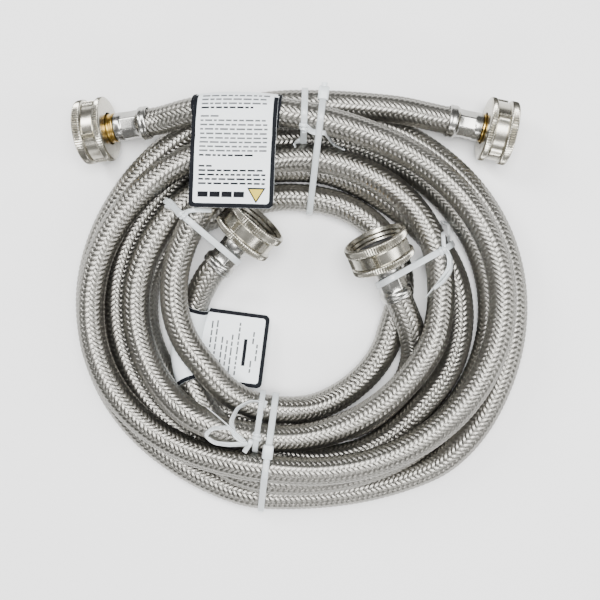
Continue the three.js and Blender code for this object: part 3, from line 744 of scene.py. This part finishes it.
def tie_outline(tie, clear):
    """The loop a tie pulled tight makes round the strands it holds: distance along, and height."""
    start, along, up, across = tie_plane(tie)
    offset = SAMPLES - start
    reach = np.linalg.norm(np.subtract(tie[1], tie[0]))
    s = offset @ along
    under = abs(offset @ across) < tie[2] / 2 + STRAP_LOOK
    held = under & (SAMPLES[:, 2] > tie[3]) & (s > 0) & (s < reach)
    turn = FULL_TURN * np.arange(DISC_SIDES) / DISC_SIDES
    discs = np.stack([np.cos(turn), np.sin(turn)], 1) * clear
    middles = np.stack([s[held], SAMPLES[held, 2]], 1)
    loop = hull((middles[:, None] + discs).reshape(-1, 2))
    round_trip = np.vstack([loop, loop[:1]])
    return even_points(np.column_stack([round_trip, np.zeros(len(round_trip))]), BAND_STEP)[:-1, :2]


def section(width, thick):
    """A flat strip's section with its edges rounded: (across, out) corners."""
    turn = math.pi * np.arange(5) / 4 - math.pi / 2
    edge = np.stack([np.cos(turn), np.sin(turn)], 1) * thick / 2
    right = edge + [width / 2 - thick / 2, 0]
    return np.vstack([right, -right])


def band(tie, width, thick):
    """A strap round the strands, closed on itself."""
    start, along, up, across = tie_plane(tie)
    loop = tie_outline(tie, STRAP_CLEAR + thick / 2)
    forward = np.roll(loop, -2, axis=0) - np.roll(loop, 2, axis=0)
    forward /= np.linalg.norm(forward, axis=1)[:, None]
    outward = np.stack([forward[:, 1], -forward[:, 0]], 1)
    corners = section(width, thick)
    flat = loop[:, None] + outward[:, None] * corners[None, :, 1, None]
    points = start + flat[..., :1] * along + flat[..., 1:] * up + corners[None, :, :1] * across
    return points.reshape(-1, 3), grid_faces(len(loop), len(corners), True, True)


def strap_top(tie, s):
    loop = tie_outline(tie, STRAP_CLEAR)
    return loop[abs(loop[:, 0] - s) < 1.5, 1].max()


def pile_top(x, y, reach=HOSE_RADIUS + 0.6):
    """The height of the pile over a plan point."""
    off = np.hypot(SAMPLES[:, 0] - x, SAMPLES[:, 1] - y)
    near = off < reach
    return (SAMPLES[near, 2] + np.sqrt(reach**2 - off[near] ** 2)).max(initial=0.6)


def strip(points, width, thick=0.45, rolls=(0, 0), taper=1.0):
    """A loose flat strip through points, rolled about itself from one angle to another."""
    points = np.asarray(points, float)
    path = Line(even_points(points, 2.5 if len(points) > 2 else 1.5), 0.7)
    count = len(path.middle)
    flat = np.cross(path.tangent, (0, 0, 1))
    flat /= np.maximum(np.linalg.norm(flat, axis=1), 0.05)[:, None]
    for _ in range(3):
        flat[1:-1] = (flat[:-2] + flat[1:-1] + flat[2:]) / 3
    flat /= np.linalg.norm(flat, axis=1)[:, None]
    face = np.cross(flat, path.tangent)
    roll = np.radians(np.linspace(*rolls, count))[:, None]
    side = flat * np.cos(roll) + face * np.sin(roll)
    out = -flat * np.sin(roll) + face * np.cos(roll)
    corners = section(width, thick)
    size = np.linspace(1, taper, count)[:, None, None]
    rows = path.middle[:, None] + size * corners[None, :, :1] * side[:, None]
    rows = rows + corners[None, :, 1:] * out[:, None]
    n = len(corners)
    faces = grid_faces(count, n, closed_columns=True)
    caps = [
        [end * n + k, end * n + k + 1, end * n + n - 2 - k, end * n + n - 1 - k][:: 1 if end else -1]
        for end in (0, count - 1) for k in range(n // 2 - 1)
    ]
    return rows.reshape(-1, 3), np.vstack([faces, caps])


def laid(places, lift):
    """Plan points, or points with their own lift, laid over the pile."""
    return [(x, y, pile_top(x, y) + (more[0] if more else lift)) for x, y, *more in places]


def wound(tie, s, turns=1.8, length=3.0, half=(2.0, 1.3)):
    """The windings of a knot round a strap at a distance along it."""
    start, along, up, across = tie_plane(tie)
    middle = start + along * s + up * (strap_top(tie, s) + 0.6)
    t = np.linspace(0, 1, 40)[:, None]
    turn = FULL_TURN * turns * t
    winding = across * half[0] * np.cos(turn) + up * half[1] * np.sin(turn)
    return middle + along * (t - 0.5) * length + winding


HEAD_SIDES = 32
HEAD_SQUARENESS = 0.32  # power of the rounded square's outline: smaller is squarer


def head_block(tie, s, length=6.6, width=5.0, height=3.6):
    """The square locking head of a cable tie, rounded, with dished ends."""
    start, along, up, across = tie_plane(tie)
    middle = start + along * s + up * (strap_top(tie, s) + height / 2 - 0.3)
    stations = np.array([-0.5, -0.5, -0.47, -0.4, 0.4, 0.47, 0.5, 0.5]) * length
    sizes = np.array([0.35, 0.8, 0.93, 1, 1, 0.93, 0.8, 0.35])
    n = HEAD_SIDES
    turn = FULL_TURN * np.arange(n) / n
    outline = np.stack([
        np.sign(np.cos(turn)) * abs(np.cos(turn)) ** HEAD_SQUARENESS * width / 2,
        np.sign(np.sin(turn)) * abs(np.sin(turn)) ** HEAD_SQUARENESS * height / 2,
    ], 1)
    rim = outline[:, :1] * across + outline[:, 1:] * up
    rows = []
    for place, size in zip(stations, sizes):
        inward = 0.6 if size < 0.5 else 0  # the ends are dished
        rows.append(middle + along * (place - math.copysign(inward, place)) + size * rim)
    faces = grid_faces(len(rows), n, closed_columns=True)
    caps = [
        [base + k, base + k + 1, base + n - 2 - k, base + n - 1 - k][:: -1 if base else 1]
        for base in (0, (len(rows) - 1) * n) for k in range(n // 2 - 1)
    ]
    return np.vstack(rows), np.vstack([faces, caps])


def tie_piece(name, parts):
    made = shape(name + "_look", *merged(parts), NYLON, bevel=60)
    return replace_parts(made, name)


def cable_tie(name, head_at):
    tie = TIES[name]
    start, along, up, across = tie_plane(tie)
    stub = start + along * head_at + up * (strap_top(tie, head_at) + 1.7)
    tie_piece(name, [
        band(tie, 3.1, 1.0),
        head_block(tie, head_at),
        strip([stub, stub - along * 5.2], 2.7, 0.9),
    ])


def strip_tie(name, knot_at, tails, width=3.0):
    """A strip round the bundle with a knot, and tails: each its places, lift, width, rolls and taper."""
    parts = [band(TIES[name], width, 0.55), strip(wound(TIES[name], knot_at), 1.7, 0.5)]
    for places, lift, wide, rolls, taper in tails:
        parts.append(strip(laid(places, lift), wide, 0.45, rolls, taper))
    tie_piece(name, parts)


cable_tie("top_cable_tie", 8)
cable_tie("bottom_cable_tie", 27)
strip_tie("top_strip_tie", 27, [
    ([(2.0, 80.5), (0.2, 77.6, 1.6), (-2.4, 75.4, 1.4), (-3.6, 72.4, 1.0)], 0.8, 3.0, (0, 40), 0.7),
    ([(1.6, 79.5), (5.5, 77.4, 1.0), (10.6, 77.4, 0.4), (15.2, 74.9, 1.2), (19.6, 71.0, 1.6)],
     0.8, 3.0, (0, 55), 0.5),
])
strip_tie("bottom_strip_tie", 13, [
    ([(-18.9, -48), (-24.2, -47.2), (-30.2, -50.5), (-33, -56.5), (-31.2, -62.5), (-26.8, -65.7)],
     1.4, 2.6, (70, 20), 1),
    ([(-25.4, -66.5), (-33.5, -67), (-40.9, -66.2), (-44.8, -62.4), (-41.2, -58.8), (-33.8, -58.7),
      (-27.0, -65)], 1.4, 2.6, (25, 65), 1),
    ([(-26.4, -65), (-33.4, -58.4), (-39, -53.6), (-43.7, -50.2)], 2.4, 2.2, (60, 80), 0.7),
    ([(-17.4, -47.5), (-20.3, -57), (-23.8, -66), (-27.0, -71)], 0.6, 2.4, (0, 0), 1),
], 2.6)
strip_tie("right_strip_tie", 31, [
    ([(66.6, 24.6), (66.4, 31), (67.4, 36.4), (69.4, 39.0), (71.6, 37), (71.6, 31), (68, 24)],
     1.4, 2.0, (30, 30), 1),
    ([(67.4, 24), (69.6, 20.5), (69.2, 15), (64.8, 9.0), (59.0, 1.4)], 0.7, 2.3, (0, 70), 0.8),
    ([(67.4, 24), (70.6, 20), (70.3, 13.8), (66.2, 8.4), (62, 5.4)], 1.1, 2.0, (60, 20), 0.8),
])
strip_tie("left_strip_tie", 31, [
    ([(-57, 39.4), (-60.6, 43), (-64.8, 44.2)], 1.0, 2.6, (0, 50), 0.7),
    ([(-57, 39.4), (-60, 44.6), (-63, 47.6)], 1.6, 2.6, (0, -40), 0.7),
    ([(-57, 39.4), (-53, 41.2, 0.9), (-49.6, 41.6, 0.6), (-42, 41.4, 0.6)], 0.8, 2.2, (0, 30), 1),
])

# ------------------------------ labels
VINYL = speckled("vinyl", (0.74, 0.79, 0.81), (0.80, 0.84, 0.86), 0.42, scale=400)
INK = speckled("ink", (0.003, 0.0035, 0.005), (0.010, 0.011, 0.014), 0.6, scale=500, Specular_IOR_Level=0.05)
GREY_INK = speckled(
    "grey_ink", (0.06, 0.065, 0.07), (0.13, 0.135, 0.14), 0.6, scale=900, Specular_IOR_Level=0.2
)
YELLOW = speckled("yellow_ink", (0.50, 0.37, 0.0), (0.58, 0.44, 0.0), 0.45, scale=500)
SHEET = 0.22
LABEL_INSIDE = 7.25
BORDER = 2.0
WRAP = 6.0  # how far past the top of its hose a flag is drawn, lying on the loop
CORNER = 2.6
FLAG_GRID = 61
LOOP_SIDES = 48
WORD_GAP = 0.75
FINE_HEIGHT, BOLD_HEIGHT = 0.8, 0.85
print_random = np.random.default_rng(5)


class Label:
    """A sheet wrapped round a hose with its halves stuck together as a flag on one side.

    Places on the flag are (out, along): out from the hose's middle line, along the hose. A flag with a
    height lies over the top of its hose; one without comes out from the hose's side."""

    def __init__(self, name, line, place, out, height, length, reach, wave, over=0):
        self.name, self.height, self.reach, self.wave = name, height, reach, wave
        nearest = np.linalg.norm(line.middle - place, axis=1).argmin()
        half = round(length / 2 / (line.along[1] - line.along[0]))
        strand = line.middle[nearest - half : nearest + half + 1 : 2]
        self.middle = strand[len(strand) // 2]
        self.outward = unit(out)
        run = strand[-1] - strand[0]
        self.along = unit(run - self.outward * (run @ self.outward))
        self.up = np.cross(self.outward, self.along)
        if self.up[2] < 0:
            self.along, self.up = -self.along, -self.up
        more = half + round(over / (line.along[1] - line.along[0]))
        self.line = Line(line.middle[nearest - more : nearest + more + 1 : 8], 0.8)
        local = (strand - self.middle) @ np.stack([self.outward, self.along, self.up], 1)
        self.edge = local[np.argsort(local[:, 1])]
        self.first, self.last = self.edge[0, 1], self.edge[-1, 1]

    def start(self, along):
        """How far out the flag starts, at a place along the hose."""
        return self.hose_at(along) + (-WRAP if self.height > 0 else LABEL_INSIDE)

    def hose_at(self, along):
        """How far out the hose's own middle line is, at a place along it."""
        return np.interp(along, self.edge[:, 1], self.edge[:, 0])

    def lift(self, out, along):
        rise = np.interp(along, self.edge[:, 1], self.edge[:, 2])
        beyond = out - self.hose_at(along)
        fade = np.clip(1 - beyond / 14, 0, 1) ** 2
        back = np.minimum(beyond, 0)
        round_hose = np.sqrt(np.maximum(self.height**2 - back**2, 0)) if self.height > 0 else 0
        return round_hose + rise * fade + self.wave(out, (along - self.first) / (self.last - self.first))

    def at(self, out, along, over=0.0):
        out, along = np.broadcast_arrays(np.asarray(out, float), np.asarray(along, float))
        up = self.lift(out, along) + over
        flat = out[..., None] * self.outward + along[..., None] * self.along
        return self.middle + flat + up[..., None] * self.up

    def inset(self, margin, corner, steps=8):
        """A path in from the flag's edge by a margin: down one side, across the far edge, up the other."""
        left, right, far = self.first + margin, self.last - margin, self.reach - margin
        turn = np.linspace(0, math.pi / 2, steps)
        down = np.linspace(0, 1, 56, endpoint=False)
        start_left, start_right = self.start(left), self.start(right)
        path = [(start_left + (far - corner - start_left) * t, left) for t in down]
        path += [(far - corner + corner * math.sin(t), left + corner - corner * math.cos(t)) for t in turn]
        path += [(far, left + corner + (right - left - 2 * corner) * t) for t in down[1:]]
        path += [(far - corner + corner * math.cos(t), right - corner + corner * math.sin(t)) for t in turn]
        path += [(start_right + (far - corner - start_right) * t, right) for t in 1 - down]
        return np.array(path)

    def flag(self):
        g = FLAG_GRID
        along = np.linspace(self.first, self.last, g)
        side = np.minimum(along - self.first, self.last - along)
        gone = CORNER - np.sqrt(np.maximum(CORNER**2 - np.maximum(CORNER - side, 0) ** 2, 0))
        gone[[0, -1]] = CORNER
        share = np.linspace(0, 1, g)[:, None]
        out = self.start(along) + share * (self.reach - gone - self.start(along))
        skins = [self.at(out, along + 0 * out, over).reshape(-1, 3) for over in (SHEET, -SHEET)]
        n = out.size
        top = grid_faces(g, g)
        inner = np.arange(1, g - 1)
        rim = np.concatenate([np.arange(g), inner * g + g - 1, n - 1 - np.arange(g), inner[::-1] * g])
        after = np.roll(rim, -1)
        edge = np.stack([rim, after, after + n, rim + n], 1)
        return np.vstack(skins), np.vstack([top, top[:, ::-1] + n, edge[:, ::-1]])

    def ink(self, word, rows, finish):
        """Print: each of rows is a grid of (out, along) places laid just over the flag."""
        parts = []
        for grid in rows:
            grid = np.asarray(grid, float)
            points = self.at(grid[..., 0], grid[..., 1], SHEET + 0.05)
            parts.append((points.reshape(-1, 3), grid_faces(*grid.shape[:2])))
        return shape(f"{self.name}_{word}", *merged(parts), finish)

    def bar(self, out, start, end, height):
        along = np.linspace(start, end, max(2, int(abs(end - start) / 2) + 2))
        edges = (out - height / 2, out + height / 2)
        return np.stack([np.stack([np.full_like(along, edge), along], 1) for edge in edges])

    def words(self, out, start, end, height):
        """A row of print: bars of uneven length with gaps, from one place along to another."""
        bars, place = [], start
        while place < end - 1.2:
            long = min(print_random.uniform(1.4, 4.2), end - place)
            bars.append(self.bar(out, place, place + long, height))
            place += long + WORD_GAP
        return bars

    def build(self):
        loop = tube(self.line, LABEL_INSIDE + 0.3, LABEL_INSIDE, LOOP_SIDES, 1.6)
        sheet = shape(self.name + "_look", *merged([loop, self.flag()]), VINYL, bevel=60)
        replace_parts(sheet, self.name)
        outer, inner = self.inset(0.02, CORNER), self.inset(BORDER, CORNER - 1.2)
        self.ink("border", [np.stack([outer, (outer + inner) / 2, inner])], INK)
        turn = FULL_TURN * np.arange(LOOP_SIDES)[None] / LOOP_SIDES
        parts = []
        for low, high in ((0, BORDER), (self.line.length - BORDER, self.line.length)):
            s = np.linspace(low, high, 3)[:, None] + 0 * turn
            ring = self.line.around(s, turn + 0 * s, np.full(s.shape, LABEL_INSIDE + 0.35))
            parts.append((ring.reshape(-1, 3), grid_faces(3, LOOP_SIDES, closed_columns=True)))
        shape(self.name + "_loop_border", *merged(parts), INK)


def caution_wave(out, share):
    """Lies on the hoses: a crease a third of the way down and a slight curl at the free edge."""
    crease = 0.7 * np.exp(-(((out - 14.5) / 2.5) ** 2)) * np.clip(out / 8, 0, 1)
    curl = 0.35 * np.sin(share * 5 + out / 9) * np.clip(out / 20, 0, 1)
    return curl - crease + 0.3


FINE_ROWS = (-4.4, -2.5, -0.5, 5.4, 7.4, 9.4, 11.4, 13.4, 15.4, 17.4, 19.4, 21.3)
SHORT_ROW = 3
HEADING_AT, HEADING_HEIGHT, HEADING_WORDS = 41.4, 2.6, 4
MARK_ROOM = 9.6  # beside the heading, for the triangle


def maker_wave(out, share):
    """Lies flat, with a slight wave away from its hose."""
    return 0.3 * np.sin(share * 4 + 1) * np.clip((out - 8) / 20, 0, 1)


caution = Label(
    "caution_label", LINES["outer_hose"], (-29.5, 89.5, 33), (-0.04, -1, 0.03), 7.4, 39.5, 47.5, caution_wave
)
caution.build()
LEFT, RIGHT = caution.first + 4.2, caution.last - 4.0
BOLD_ROWS = [(1.4, RIGHT - 7), (23.4, RIGHT - 5), (28.4, LEFT + 8)]
BOLD_ROWS += [(out, RIGHT) for out in (30.4, 32.4, 34.4, 36.4)]
fine, bold = [], []
for row, out in enumerate(FINE_ROWS):
    fine += caution.words(out, LEFT, LEFT + 9 if row == SHORT_ROW else RIGHT, FINE_HEIGHT)
for out, end in BOLD_ROWS:
    bold += caution.words(out, LEFT, end, BOLD_HEIGHT)
caution.ink("small_print", fine, GREY_INK)
caution.ink("bold_print", bold, INK)
MARK = LEFT + 0.2 if caution.along[0] < 0 else RIGHT - 7.6
HEAD = (LEFT + MARK_ROOM, RIGHT) if caution.along[0] < 0 else (LEFT, RIGHT - MARK_ROOM)
word_starts = np.linspace(HEAD[0], HEAD[1] + 0.8, HEADING_WORDS + 1)
caution.ink("heading", [
    caution.bar(HEADING_AT, here, after - 0.8, HEADING_HEIGHT)
    for here, after in zip(word_starts[:-1], word_starts[1:])
], INK)


def triangle(label, out, along, size, over, rows=7):
    """A triangle pointing out along the flag, as a fan of thin rows."""
    grid = np.array([
        [(out + t * size * 0.82, along + size / 2 * (1 - t) * k) for k in (-1, 0, 1)]
        for t in np.linspace(0, 1, rows)
    ])
    points = label.at(grid[..., 0], grid[..., 1], SHEET + over)
    return points.reshape(-1, 3), grid_faces(rows, 3)


shape("caution_label_mark_rim", *triangle(caution, 38.2, MARK + 3.6, 8.6, 0.05), INK)
shape("caution_label_mark", *triangle(caution, 38.9, MARK + 3.6, 6.4, 0.09), YELLOW)

maker = Label(
    "maker_label", LINES["inner_hose"], (-57, -21, 11), (0.99, -0.13, -0.06), 0, 38, 39, maker_wave, 2.2
)
maker.build()
low, high = maker.first + 5, maker.last - 5
small = []
for out, start, end in (
    (11.5, low + 12, high), (14, low + 9, high), (17.2, low + 4, high - 8), (19.6, low + 4, high - 8),
    (22, low, high - 6), (25, low, high), (32.2, low + 2, low + 9), (32.2, high - 10, high - 4),
    (34.4, low + 8, high - 10),
):
    small += maker.words(out, start, end, FINE_HEIGHT)
maker.ink("small_print", small, GREY_INK)
maker.ink("number_bar", [maker.bar(28.6, low + 5, high - 8, 1.7)], INK)

# ------------------------------ floor
FLOOR = -0.2 * MM  # just under the lowest wires of the braid
FLOOR_HALF = 1.6


def floor():
    corners = [(x * FLOOR_HALF, y * FLOOR_HALF, FLOOR) for x, y in ((-1, -1), (1, -1), (1, 1), (-1, 1))]
    sheet = bpy.data.meshes.new("floor")
    sheet.from_pydata(corners, [], [(0, 1, 2, 3)])
    look, tree, shader = material("paper", (0.93, 0.93, 0.93), 0, 0.9)
    tint = noise(tree, 3)
    tree.links.new(spread(tree, tint, 0.85, 0.95), shader.inputs["Roughness"])
    sheet.materials.append(look)
    ground = bpy.data.objects.new("floor", sheet)
    bpy.context.collection.objects.link(ground)


floor()
